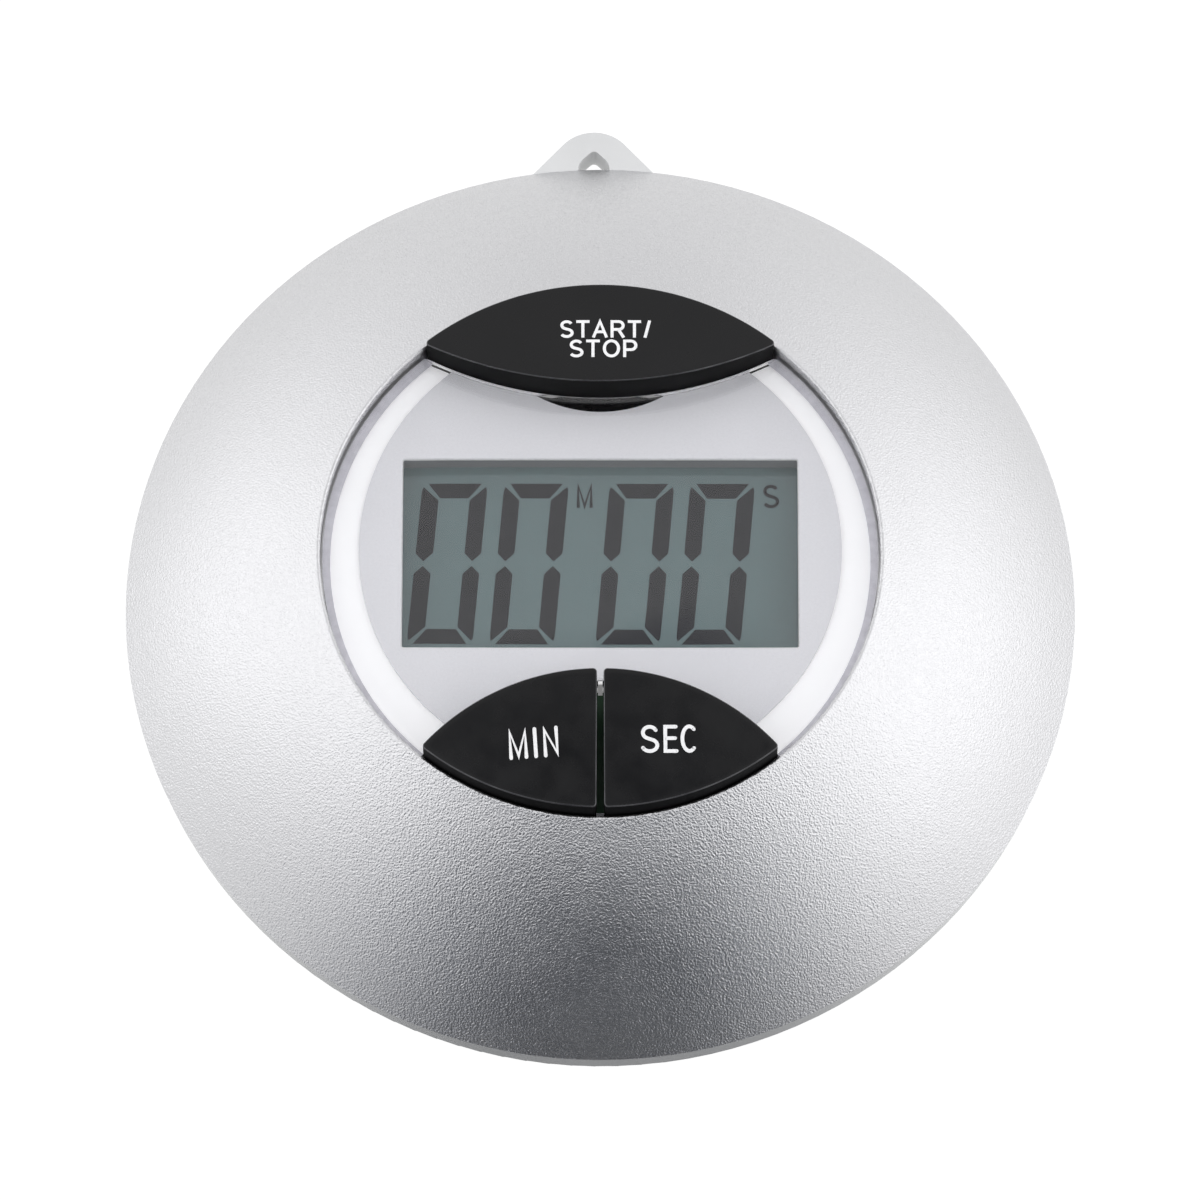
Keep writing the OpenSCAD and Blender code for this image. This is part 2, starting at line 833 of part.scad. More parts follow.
front_shell();
window_lens();
dial_plate();
inner_frame();
start_stop_button();
min_button();
sec_button();
start_stop_key_dome();
min_key_dome();
sec_key_dome();
lcd_front_polariser();
lcd_front_glass();
lcd_rear_glass();
lcd_reflector();
lcd_holder();
zebra_strips();
circuit_board();
chip_blob();
quartz_crystal();
chip_components();
board_screws();
buzzer_plate();
buzzer_ceramic();
buzzer_lead_red();
buzzer_lead_black();
button_cell();
positive_contact();
negative_contact();
back_case();
case_screws();
battery_cover();
magnets();
stand();
stand_pin();
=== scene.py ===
"""Looks of the round lab timer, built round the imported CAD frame. The object's lengths are in
millimetres here and are turned into metres as each mesh is made. The camera and the floor are
placed in metres."""
import json
import math

import bmesh
import bpy
from mathutils import Matrix, Vector


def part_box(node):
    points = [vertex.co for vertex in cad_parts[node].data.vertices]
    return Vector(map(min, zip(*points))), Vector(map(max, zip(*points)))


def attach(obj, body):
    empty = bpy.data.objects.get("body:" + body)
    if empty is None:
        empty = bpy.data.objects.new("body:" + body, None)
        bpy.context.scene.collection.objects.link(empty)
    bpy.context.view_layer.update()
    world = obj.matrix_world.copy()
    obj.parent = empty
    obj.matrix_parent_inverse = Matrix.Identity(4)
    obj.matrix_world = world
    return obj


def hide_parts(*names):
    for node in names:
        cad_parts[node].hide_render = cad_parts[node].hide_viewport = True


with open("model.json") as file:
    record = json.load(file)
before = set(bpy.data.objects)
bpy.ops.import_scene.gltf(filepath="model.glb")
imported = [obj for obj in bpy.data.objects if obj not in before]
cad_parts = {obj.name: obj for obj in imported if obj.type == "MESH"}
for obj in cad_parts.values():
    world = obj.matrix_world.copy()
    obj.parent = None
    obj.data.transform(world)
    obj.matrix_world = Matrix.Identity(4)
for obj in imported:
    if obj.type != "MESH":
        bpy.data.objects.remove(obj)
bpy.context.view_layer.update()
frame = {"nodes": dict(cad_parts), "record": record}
MM = 0.001


# ---------------------------------------------------------------- camera

CAMERA_ELEVATION = math.radians(69.61)
CAMERA_DISTANCE = 0.8
CAMERA_LENS = 239.8
CAMERA_AIM = Vector((0, 0, 0.004))
CAMERA_SHIFT = (-0.00025, 0.00475)


def make_camera():
    """Long lens, looking down on the dial from the front as in the photo."""
    data = bpy.data.cameras.new("camera")
    data.lens = CAMERA_LENS
    data.sensor_width = 36
    data.shift_x, data.shift_y = CAMERA_SHIFT
    data.clip_start = 0.05
    data.clip_end = 20
    camera = bpy.data.objects.new("camera", data)
    back = Vector((0, -math.cos(CAMERA_ELEVATION), math.sin(CAMERA_ELEVATION)))
    camera.location = CAMERA_AIM + back * CAMERA_DISTANCE
    camera.rotation_euler = (-back).to_track_quat("-Z", "Y").to_euler()
    bpy.context.scene.collection.objects.link(camera)
    bpy.context.scene.camera = camera


# ---------------------------------------------------------------- sizes from the frame

def low_mm(node):
    """Lowest corner of a node's box, in millimetres."""
    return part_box(node)[0] / MM


def high_mm(node):
    """Highest corner of a node's box, in millimetres."""
    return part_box(node)[1] / MM


LENS_TOP = high_mm("window_lens").z
# The visual lens stands this little above the dial, so that the two faces don't coincide
LENS_LIFT = 0.05
LENS_BOTTOM = low_mm("window_lens").z + LENS_LIFT
LENS_R = high_mm("window_lens").x
DISPLAY_TOP = high_mm("lcd_front_polariser").z
BUTTON_BOTTOM = low_mm("start_stop_button").z
DIAL_TOP = high_mm("dial_plate").z
DIAL_BOTTOM = low_mm("dial_plate").z
WINDOW_W = 39.2
WINDOW_H = 19.95
WINDOW_Y = 0.5
WINDOW_CORNER_R = 0.3
TRIM_W = 0.12

# The opening, the lens and the buttons, as in the CAD. An arc is its centre's x and y and its radius
OPENING_R = 27.55
LENS_RIM_R = 1.3
GAP = 0.15
START_ARC = (0, 53.95, 37.4)
SET_ARC = (0, -37, 23.7)
SPLIT = 0.6
# Radius of the arcs that stand for the straight sides of the slit between the two set buttons
FLAT_R = 5000
FLANGE_TOP = 15.0
FLANGE_W = 0.8
START_FLANGE_W = 1.15
CROWN_R = 260
CROWN_EDGE_Z = 21.8
CROWN_CENTRE_Z = CROWN_EDGE_Z - math.sqrt(CROWN_R**2 - OPENING_R**2)


def crown(x, y):
    """Height of the button tops above the back face."""
    return CROWN_CENTRE_Z + math.sqrt(CROWN_R**2 - x * x - y * y)


# ---------------------------------------------------------------- mesh helpers

def add_object(name, mesh, body, material):
    """Puts a mesh in the scene as a piece that moves with a body."""
    obj = bpy.data.objects.new(name, mesh)
    bpy.context.scene.collection.objects.link(obj)
    mesh.materials.append(material)
    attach(obj, body)
    return obj


def finish_mesh(bm, name):
    """Turns the faces outwards and returns the mesh."""
    bmesh.ops.recalc_face_normals(bm, faces=bm.faces)
    mesh = bpy.data.meshes.new(name)
    bm.to_mesh(mesh)
    bm.free()
    return mesh


def smooth(mesh, angle=35):
    """Smooth shading, with edges sharper than an angle in degrees left sharp."""
    mesh.shade_smooth()
    mesh.set_sharp_from_angle(angle=math.radians(angle))


def join_rings(bm, rings, nexts):
    """Bands of four-sided faces from each ring of points to the next."""
    for low, high in zip(rings, nexts):
        for i in range(len(low)):
            j = (i + 1) % len(low)
            bm.faces.new((low[i], low[j], high[j], high[i]))


def loops_mesh(name, loops, centre=None):
    """Closed mesh through loops of equally many points, from the bottom up. The bottom is one
    face, and so is the top, unless centre gives a point for the top to run up to."""
    bm = bmesh.new()
    rings = [[bm.verts.new(Vector(p) * MM) for p in loop] for loop in loops]
    count = len(rings[0])
    join_rings(bm, rings, rings[1:])
    bm.faces.new(list(reversed(rings[0])))
    if centre is None:
        bm.faces.new(rings[-1])
    else:
        tip = bm.verts.new(Vector(centre) * MM)
        for i in range(count):
            bm.faces.new((rings[-1][i], rings[-1][(i + 1) % count], tip))
    return finish_mesh(bm, name)


def tube_mesh(name, loops):
    """Closed ring-shaped mesh whose section runs from loop to loop and back to the first."""
    bm = bmesh.new()
    rings = [[bm.verts.new(Vector(p) * MM) for p in loop] for loop in loops]
    join_rings(bm, rings, rings[1:] + rings[:1])
    return finish_mesh(bm, name)


def meet(a, b, radius_a, radius_b, near):
    """The crossing of two circles, about a and b, that lies nearest to a given point."""
    a, b = Vector(a), Vector(b)
    gap = (b - a).length
    along = (radius_a**2 - radius_b**2 + gap**2) / (2 * gap)
    across = math.sqrt(max(radius_a**2 - along**2, 0))
    unit = (b - a) / gap
    side = Vector((-unit.y, unit.x))
    found = [a + unit * along + side * across, a + unit * along - side * across]
    return min(found, key=lambda p: (p - Vector(near)).length)


def arc_points(centre, radius, start, end, count, turn):
    """Points of an arc from direction start to direction end, turning left (1) or right (-1)."""
    a0 = math.atan2(start.y, start.x)
    a1 = math.atan2(end.y, end.x)
    sweep = (a1 - a0) % (2 * math.pi)
    if turn < 0:
        sweep -= 2 * math.pi
    if abs(sweep) > math.pi * 1.5:
        sweep -= math.copysign(2 * math.pi, sweep)
    return [
        Vector((centre[0] + radius * math.cos(a0 + sweep * k / count),
                centre[1] + radius * math.sin(a0 + sweep * k / count)))
        for k in range(count)
    ]


def arc_outline(edges, corners, inset, corner_r, count=40):
    """Closed outline made of arcs with rounded corners, moved inwards by an inset for each edge.
    An edge is (x, y, radius, side): side is 1 if the shape lies inside that circle, else -1.
    corners[i] is a point near the corner where edge i ends."""
    if not isinstance(inset, (list, tuple)):
        inset = [inset] * len(edges)
    least_r, corner_count = 0.03, 6
    round_r = max(corner_r - max(inset), least_r)
    radii = [e[2] - e[3] * d for e, d in zip(edges, inset)]
    centres = []
    for i, near in enumerate(corners):
        j = (i + 1) % len(edges)
        reach_i = radii[i] - edges[i][3] * round_r
        reach_j = radii[j] - edges[j][3] * round_r
        centres.append(meet(edges[i][:2], edges[j][:2], reach_i, reach_j, near))
    points = []
    for i, edge in enumerate(edges):
        middle = Vector(edge[:2])
        start, end = centres[i - 1] - middle, centres[i] - middle
        points += arc_points(middle, radii[i], start, end, count, edge[3])
        after = edges[(i + 1) % len(edges)]
        out_i = (centres[i] - middle) * edge[3]
        out_j = (centres[i] - Vector(after[:2])) * after[3]
        points += arc_points(centres[i], round_r, out_i, out_j, corner_count, 1)
    return points


# ---------------------------------------------------------------- flat shapes: digits and letters

def flat_mesh(name, polygons, floor, low, high):
    """Thin closed prisms from flat outlines. floor(x, y) is the height of the face they lie on, and
    low and high are the heights of their two faces over it."""
    bm = bmesh.new()
    for polygon in polygons:
        bottom = [bm.verts.new(Vector((p.x, p.y, floor(p.x, p.y) + low)) * MM) for p in polygon]
        top = [bm.verts.new(Vector((p.x, p.y, floor(p.x, p.y) + high)) * MM) for p in polygon]
        bm.faces.new(top)
        bm.faces.new(list(reversed(bottom)))
        for i in range(len(polygon)):
            j = (i + 1) % len(polygon)
            bm.faces.new((bottom[i], bottom[j], top[j], top[i]))
    return finish_mesh(bm, name)


def side_steps(path):
    """For each point of a path, the step to the left edge of a stroke one unit half-wide, with
    mitred corners, blunted where they are sharp. A path that ends where it starts is closed."""
    blunt = 0.45
    closed = (path[0] - path[-1]).length < 0.001
    last = len(path) - 1
    steps = []
    for i, point in enumerate(path):
        before = path[i - 1] if i > 0 else path[last - 1] if closed else None
        after = path[i + 1] if i < last else path[1] if closed else None
        ahead = (after - point).normalized() if after else (point - before).normalized()
        come = (point - before).normalized() if before else ahead
        normals = [Vector((-d.y, d.x)) for d in (come, ahead)]
        mitre = (normals[0] + normals[1]).normalized()
        steps.append(mitre / max(mitre.dot(normals[0]), blunt))
    return steps


def stroke_polygons(path, width, round_ends):
    """Four-sided pieces that cover a pen stroke along a path, and discs on its round ends."""
    half = width / 2
    steps = side_steps(path)
    left = [p + half * step for p, step in zip(path, steps)]
    right = [p - half * step for p, step in zip(path, steps)]
    pieces = [
        [left[i], right[i], right[i + 1], left[i + 1]] for i in range(len(path) - 1)
    ]
    if round_ends:
        for end in (path[0], path[-1]):
            turns = [math.radians(30 * k) for k in range(12)]
            pieces.append([end + half * Vector((math.cos(a), math.sin(a))) for a in turns])
    return pieces


def bow(cx, cy, rx, ry, start, end, steps=14):
    """Points of an elliptical arc, angles in degrees."""
    angles = [math.radians(start + (end - start) * k / steps) for k in range(steps + 1)]
    return [(cx + rx * math.cos(a), cy + ry * math.sin(a)) for a in angles]


# Pen paths of each letter in a box 1 high, and its width
LETTERS = {
    "S": (0.68, [bow(0.34, 0.72, 0.25, 0.21, 25, 255) + bow(0.34, 0.27, 0.28, 0.21, 75, -155)]),
    "T": (0.68, [[(0, 0.93), (0.68, 0.93)], [(0.34, 0.93), (0.34, 0)]]),
    "A": (0.78, [[(0.05, 0), (0.39, 0.93), (0.73, 0)], [(0.17, 0.33), (0.61, 0.33)]]),
    "R": (0.74, [
        [(0.08, 0), (0.08, 0.93), (0.42, 0.93)] + bow(0.42, 0.7, 0.23, 0.23, 80, -90) + [(0.08, 0.47)],
        [(0.4, 0.47), (0.68, 0)],
    ]),
    "O": (0.86, [bow(0.43, 0.5, 0.35, 0.44, 0, 360, 30)]),
    "P": (0.7, [
        [(0.08, 0), (0.08, 0.93), (0.4, 0.93)] + bow(0.4, 0.68, 0.23, 0.25, 80, -90) + [(0.08, 0.43)],
    ]),
    "/": (0.34, [[(0.05, 0), (0.29, 1)]]),
    "M": (0.68, [[(0.07, 0), (0.07, 0.93), (0.34, 0.06), (0.61, 0.93), (0.61, 0)]]),
    "I": (0.14, [[(0.07, 0), (0.07, 0.98)]]),
    "N": (0.56, [[(0.07, 0), (0.07, 0.94), (0.49, 0.06), (0.49, 0.98)]]),
    "E": (0.46, [[(0.46, 0.93), (0.07, 0.93), (0.07, 0.06), (0.48, 0.06)], [(0.07, 0.52), (0.43, 0.52)]]),
    "C": (0.58, [bow(0.33, 0.5, 0.26, 0.44, 50, 310, 20)]),
}


def word_polygons(word, centre, height, width, pen, turn=0, gap=0.14, round_ends=False):
    """Pieces of a word of capitals, centred on a point and fitted to a width, turned in degrees."""
    natural = sum(LETTERS[c][0] for c in word) + gap * (len(word) - 1)
    stretch = width / (natural * height)
    turned = Matrix.Rotation(math.radians(turn), 2)
    polygons, x = [], -natural / 2
    for c in word:
        letter_w, paths = LETTERS[c]
        for path in paths:
            points = [
                turned @ Vector(((x + px) * stretch * height, (py - 0.5) * height)) + Vector(centre)
                for px, py in path
            ]
            polygons += stroke_polygons(points, pen, round_ends)
        x += letter_w + gap
    return polygons


# ---------------------------------------------------------------- material helpers

def new_material(name, base, roughness, metallic=0.0):
    """Material with one Principled shader. Returns the material and its node tree."""
    material = bpy.data.materials.new(name)
    material.use_nodes = True
    shader = material.node_tree.nodes["Principled BSDF"]
    shader.inputs["Base Color"].default_value = (*base, 1)
    shader.inputs["Roughness"].default_value = roughness
    shader.inputs["Metallic"].default_value = metallic
    return material, material.node_tree


def principled(tree):
    """The Principled shader of a material's node tree."""
    return tree.nodes["Principled BSDF"]


def noise(tree, size, detail, rough=0.5):
    """Noise fixed to the object, whose blotches are about size millimetres across."""
    place = tree.nodes.new("ShaderNodeTexCoord")
    node = tree.nodes.new("ShaderNodeTexNoise")
    node.inputs["Scale"].default_value = 1 / (size * MM)
    node.inputs["Detail"].default_value = detail
    node.inputs["Roughness"].default_value = rough
    tree.links.new(place.outputs["Object"], node.inputs["Vector"])
    return node.outputs["Fac"]


# Nearly all of a noise's values lie between these two
NOISE_LOW = 0.3
NOISE_HIGH = 0.7


def spread_noise(tree, value, low, high):
    """A noise value spread over the range from low to high."""
    node = tree.nodes.new("ShaderNodeMapRange")
    node.inputs["From Min"].default_value = NOISE_LOW
    node.inputs["From Max"].default_value = NOISE_HIGH
    node.inputs["To Min"].default_value = low
    node.inputs["To Max"].default_value = high
    tree.links.new(value, node.inputs["Value"])
    return node.outputs["Result"]


def mix_colours(tree, factor, a, b):
    """Colour that goes from a to b as the factor goes from 0 to 1."""
    node = tree.nodes.new("ShaderNodeMix")
    node.data_type = "RGBA"
    node.inputs["A"].default_value = (*a, 1)
    node.inputs["B"].default_value = (*b, 1)
    tree.links.new(factor, node.inputs["Factor"])
    return node.outputs["Result"]


def vary_roughness(tree, value, low, high):
    """Roughness that wanders from low to high with a noise value."""
    tree.links.new(spread_noise(tree, value, low, high), principled(tree).inputs["Roughness"])


def vary_colour(tree, value, a, b):
    """Base colour that wanders from a to b with a noise value."""
    factor = spread_noise(tree, value, 0, 1)
    tree.links.new(mix_colours(tree, factor, a, b), principled(tree).inputs["Base Color"])


def bump(tree, value, strength, depth):
    """Bumps that follow a noise value and are depth millimetres high."""
    node = tree.nodes.new("ShaderNodeBump")
    node.inputs["Strength"].default_value = strength
    node.inputs["Distance"].default_value = depth * MM
    tree.links.new(value, node.inputs["Height"])
    tree.links.new(node.outputs["Normal"], principled(tree).inputs["Normal"])


# ---------------------------------------------------------------- materials

def silver_paint():
    """Metallic paint with the fine orange peel that makes it sparkle, and faint handling marks."""
    material, tree = new_material("silver_paint", (0.62, 0.62, 0.63), 0.3, 1)
    vary_colour(tree, noise(tree, 0.3, 2), (0.6, 0.6, 0.61), (0.64, 0.64, 0.65))
    vary_roughness(tree, noise(tree, 9, 4), 0.29, 0.34)
    bump(tree, noise(tree, 0.2, 1.5), 1, 0.075)
    return material


def clear_lens():
    """Polished acrylic. Shadow rays pass straight through it, so it casts no shadow."""
    material, tree = new_material("clear_lens", (0.99, 0.99, 1.0), 0.02)
    shader = principled(tree)
    shader.inputs["Transmission Weight"].default_value = 1
    shader.inputs["IOR"].default_value = 1.49
    bump(tree, noise(tree, 6, 1), 0.02, 0.02)
    clear = tree.nodes.new("ShaderNodeBsdfTransparent")
    ray = tree.nodes.new("ShaderNodeLightPath")
    mix = tree.nodes.new("ShaderNodeMixShader")
    output = tree.nodes["Material Output"]
    tree.links.new(ray.outputs["Is Shadow Ray"], mix.inputs["Fac"])
    tree.links.new(shader.outputs["BSDF"], mix.inputs[1])
    tree.links.new(clear.outputs["BSDF"], mix.inputs[2])
    tree.links.new(mix.outputs["Shader"], output.inputs["Surface"])
    return material


def dial_foil():
    """Silver-grey print on the dial: satin, with a barely visible grain."""
    material, tree = new_material("dial_foil", (0.74, 0.74, 0.76), 0.5, 0.35)
    vary_colour(tree, noise(tree, 0.25, 3), (0.73, 0.73, 0.75), (0.76, 0.76, 0.78))
    vary_roughness(tree, noise(tree, 5, 3), 0.5, 0.56)
    bump(tree, noise(tree, 0.12, 2), 0.1, 0.01)
    return material


def plastic(name, base, roughness, grain, depth, spread=0.04, shine=0.5):
    """Moulded plastic: slight colour clouding, worn sheen and a spark-eroded grain."""
    material, tree = new_material(name, base, roughness)
    principled(tree).inputs["Specular IOR Level"].default_value = shine
    dark = tuple(c * (1 - spread) for c in base)
    light = tuple(min(c * (1 + spread), 1) for c in base)
    vary_colour(tree, noise(tree, 7, 4), dark, light)
    vary_roughness(tree, noise(tree, 3, 4), roughness - 0.05, roughness + 0.06)
    bump(tree, noise(tree, grain, 3, 0.6), 0.35, depth)
    return material


def white_plastic():
    """Bright white of the inner frame. A slight glow makes it as bright as it is in the photo."""
    material = plastic("white_plastic", (0.93, 0.93, 0.93), 0.45, 0.2, 0.01, 0.01)
    shader = principled(material.node_tree)
    shader.inputs["Emission Color"].default_value = (1, 1, 1, 1)
    shader.inputs["Emission Strength"].default_value = 0.2
    return material


def metal(name, base, roughness):
    """Plain metal, slightly tarnished, with fine marks."""
    material, tree = new_material(name, base, roughness, 1)
    vary_colour(tree, noise(tree, 2, 4), tuple(c * 0.88 for c in base), base)
    vary_roughness(tree, noise(tree, 0.4, 3), roughness - 0.06, roughness + 0.1)
    bump(tree, noise(tree, 0.15, 2), 0.12, 0.01)
    return material


def make_materials():
    """One material for each material slot of the record."""
    return {
        "silver_paint": silver_paint(),
        "clear_lens": clear_lens(),
        "dial_foil": dial_foil(),
        "white_plastic": white_plastic(),
        "black_button": plastic("black_button", (0.004, 0.004, 0.0045), 0.26, 0.13, 0.01, 0.15, 0.3),
        "key_rubber": plastic("key_rubber", (0.25, 0.26, 0.27), 0.7, 0.3, 0.02),
        "lcd_film": plastic("lcd_film", (0.085, 0.135, 0.137), 0.08, 0.4, 0.0002, 0.03),
        "lcd_glass": plastic("lcd_glass", (0.5, 0.56, 0.55), 0.1, 1, 0.002),
        "lcd_foil": metal("lcd_foil", (0.55, 0.58, 0.56), 0.45),
        "zebra_rubber": plastic("zebra_rubber", (0.5, 0.46, 0.4), 0.7, 0.2, 0.02),
        "board_green": plastic("board_green", (0.012, 0.07, 0.025), 0.35, 0.6, 0.03, 0.2),
        "black_epoxy": plastic("black_epoxy", (0.012, 0.012, 0.013), 0.2, 1.2, 0.05),
        "component_ceramic": plastic("component_ceramic", (0.35, 0.27, 0.2), 0.5, 0.2, 0.01),
        "screw_steel": metal("screw_steel", (0.62, 0.62, 0.64), 0.32),
        "buzzer_brass": metal("buzzer_brass", (0.72, 0.53, 0.22), 0.35),
        "buzzer_ceramic": plastic("buzzer_ceramic", (0.75, 0.74, 0.7), 0.45, 0.3, 0.01),
        "red_insulation": plastic("red_insulation", (0.45, 0.02, 0.02), 0.4, 0.4, 0.01),
        "black_insulation": plastic("black_insulation", (0.02, 0.02, 0.02), 0.4, 0.4, 0.01),
        "cell_steel": metal("cell_steel", (0.7, 0.7, 0.7), 0.25),
        "contact_bronze": metal("contact_bronze", (0.7, 0.62, 0.45), 0.35),
        "grey_plastic": plastic("grey_plastic", (0.66, 0.665, 0.665), 0.5, 0.25, 0.03, 0.03),
        "magnet_nickel": metal("magnet_nickel", (0.5, 0.5, 0.51), 0.22),
    }


def segment_ink():
    """Dark liquid crystal of the digits' segments: nearly no shine of its own."""
    material, tree = new_material("segment_ink", (0.005, 0.005, 0.008), 0.6)
    principled(tree).inputs["Specular IOR Level"].default_value = 0.05
    vary_colour(tree, noise(tree, 4, 2), (0.004, 0.004, 0.007), (0.006, 0.006, 0.009))
    return material


def button_edge_highlight():
    """Top edges of the buttons, painted lighter than their tops: a painted highlight."""
    material, tree = new_material("button_edge_highlight", (0.06, 0.06, 0.065), 0.3)
    vary_colour(tree, noise(tree, 2, 3), (0.03, 0.03, 0.034), (0.09, 0.09, 0.095))
    return material


def button_wall():
    """Walls of the buttons: the same black, but dull."""
    material, tree = new_material("button_wall", (0.004, 0.004, 0.0045), 0.6)
    principled(tree).inputs["Specular IOR Level"].default_value = 0.1
    vary_colour(tree, noise(tree, 3, 3), (0.0035, 0.0035, 0.004), (0.0045, 0.0045, 0.005))
    return material


def lens_cut_highlight():
    """Moulded cut edge of the lens, coloured near white: a painted highlight."""
    material, tree = new_material("lens_cut_highlight", (0.85, 0.86, 0.88), 0.3)
    vary_colour(tree, noise(tree, 0.5, 3), (0.7, 0.71, 0.73), (0.92, 0.92, 0.93))
    bump(tree, noise(tree, 0.2, 2), 0.3, 0.01)
    return material


def rim_refraction_grey():
    """Fine-grained grey-lavender surface: painted refraction, the grey band under the lens's rim."""
    material, tree = new_material("rim_refraction_grey", (0.66, 0.65, 0.7), 0.5)
    vary_colour(tree, noise(tree, 0.8, 3), (0.6, 0.59, 0.64), (0.72, 0.71, 0.76))
    bump(tree, noise(tree, 0.15, 2), 0.2, 0.01)
    return material


def white_print_and_highlight():
    """Nearly white, slightly uneven and matt: pad-printed ink, and the painted highlight at the window."""
    material, tree = new_material("white_print_and_highlight", (0.9, 0.9, 0.9), 0.5)
    vary_colour(tree, noise(tree, 0.3, 3), (0.8, 0.8, 0.81), (0.95, 0.95, 0.95))
    bump(tree, noise(tree, 0.1, 2), 0.2, 0.01)
    return material


# ---------------------------------------------------------------- pieces

def dress_cad_nodes(materials):
    """Gives every CAD node the material of its slot, and smooth shading on its curved faces."""
    for part in frame["record"]["subparts"]:
        node = frame["nodes"][part["node"]]
        node.data.materials.clear()
        node.data.materials.append(materials[part["material_slot"]])
        smooth(node.data)


def fillet_steps(radius):
    """Pairs of how far in and how far down each step of a quarter-round edge lies."""
    steps = 6
    angles = [math.pi / 2 * k / steps for k in range(steps + 1)]
    return [(radius * (1 - math.cos(a)), radius * (1 - math.sin(a))) for a in angles]


# How much a face's normal rises: 0 on an upright wall, 1 on a level top
SLANTED = (0.1, 0.97)
UPRIGHT = (-0.1, 0.1)


def mark_faces(mesh, index, least, most, where=lambda centre: True):
    """Gives one of the mesh's materials to the faces that pass a test and whose normal's rise lies
    between least and most."""
    for face in mesh.polygons:
        if least <= face.normal.z < most and where(face.center / MM):
            face.material_index = index


def button_mesh(name, edges, corners, flange):
    """Button with a flange, upright walls, a small rounded top edge and a crowned top."""
    edge_r = 0.13
    corner_r = 0.4
    flange_inset = [-w for w in flange]

    def at(outline, height):
        return [(p.x, p.y, height) for p in outline]

    def on_crown(outline, down):
        return [(p.x, p.y, crown(p.x, p.y) - down) for p in outline]

    wall = arc_outline(edges, corners, 0, corner_r)
    skirt = arc_outline(edges, corners, flange_inset, corner_r)
    loops = [at(skirt, BUTTON_BOTTOM), at(skirt, FLANGE_TOP), at(wall, FLANGE_TOP)]
    for inward, down in fillet_steps(edge_r):
        loops.append(on_crown(arc_outline(edges, corners, inward, corner_r), down))
    rim = arc_outline(edges, corners, edge_r, corner_r)
    middle = sum(rim, Vector((0, 0))) / len(rim)
    for share in (0.93, 0.8, 0.6, 0.4, 0.2):
        loops.append(on_crown([middle + (p - middle) * share for p in rim], 0))
    mesh = loops_mesh(name, loops, (middle.x, middle.y, crown(middle.x, middle.y)))
    smooth(mesh, 40)
    return mesh


def make_buttons(material, edge_highlight_material, wall_material):
    """Buttons with fine rounded edges, in place of the plain ones of the CAD."""
    outer = (0, 0, OPENING_R - GAP, 1)
    start_arc = (*START_ARC[:2], START_ARC[2] - GAP, 1)
    set_arc = (*SET_ARC[:2], SET_ARC[2] - GAP, 1)
    half = SPLIT / 2
    shapes = {
        "start_stop_button": ([outer, start_arc], [(-17.5, 21), (17.5, 21)], [FLANGE_W, START_FLANGE_W]),
        "min_button": (
            [outer, (-half - FLAT_R, 0, FLAT_R, 1), set_arc],
            [(-half, -27), (-half, -13.5), (-17.4, -21)],
            [FLANGE_W, 0, FLANGE_W],
        ),
        "sec_button": (
            [outer, set_arc, (half + FLAT_R, 0, FLAT_R, 1)],
            [(17.4, -21), (half, -13.5), (half, -27)],
            [FLANGE_W, FLANGE_W, 0],
        ),
    }
    for name, (edges, corners, flange) in shapes.items():
        mesh = button_mesh(name + "_cap", edges, corners, flange)
        cap = add_object(name + "_cap", mesh, name, material)
        mesh.materials.append(edge_highlight_material)
        mesh.materials.append(wall_material)
        # The slanted faces of the rounded top edge carry the painted highlight.
        mark_faces(mesh, 1, *SLANTED)
        mark_faces(mesh, 2, *UPRIGHT)
        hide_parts(name)


def make_lens(clear, cut_highlight):
    """Clear lens: a large round on its rim, and a fine moulded edge along the sides cut for the
    buttons, whose slanted faces are coloured near white as a painted highlight."""
    cut_r, corner_r = 0.14, 0.2
    count, steps = 64, 14
    edges = [(0, 0, LENS_R, 1), (*START_ARC, -1), (0, 0, LENS_R, 1), (*SET_ARC, -1)]
    corners = [(17.7, 20.8), (-17.7, 20.8), (-17.3, -21), (17.3, -21)]
    angles = [math.pi / 2 * k / steps for k in range(steps + 1)]
    outline = arc_outline(edges, corners, 0, corner_r, count)
    loops = [[(p.x, p.y, LENS_BOTTOM) for p in outline]]
    for angle in angles:
        rim_in = LENS_RIM_R * (1 - math.cos(angle))
        height = LENS_TOP - LENS_RIM_R * (1 - math.sin(angle))
        above = height - (LENS_TOP - cut_r)
        cut_in = cut_r - math.sqrt(max(cut_r**2 - above**2, 0)) if above > 0 else 0
        outline = arc_outline(edges, corners, [rim_in, cut_in, rim_in, cut_in], corner_r, count)
        loops.append([(p.x, p.y, height) for p in outline])
    mesh = loops_mesh("lens", loops)
    lens = add_object("lens", mesh, "root", clear)
    mesh.materials.append(cut_highlight)
    inner_r = LENS_R - LENS_RIM_R - 0.05
    # The slanted faces of the cut edges, inside the rim, carry the painted highlight.
    mark_faces(mesh, 1, *SLANTED, lambda centre: centre.xy.length < inner_r)
    smooth(mesh, 30)
    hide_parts("window_lens")


def make_rim_refraction_ring(material):
    """Roughened grey ring under the rounded rim of the lens: painted refraction of darker surroundings."""
    inner_r, ring_t, count = 26.4, 0.03, 160
    low, high = DIAL_TOP, DIAL_TOP + ring_t
    turns = [2 * math.pi * k / count for k in range(count)]
    rings = []
    for radius, height in ((inner_r, low), (inner_r, high), (LENS_R, high), (LENS_R, low)):
        rings.append([(radius * math.cos(a), radius * math.sin(a), height) for a in turns])
    add_object("rim_refraction_ring", tube_mesh("rim_refraction_ring", rings), "root", material)


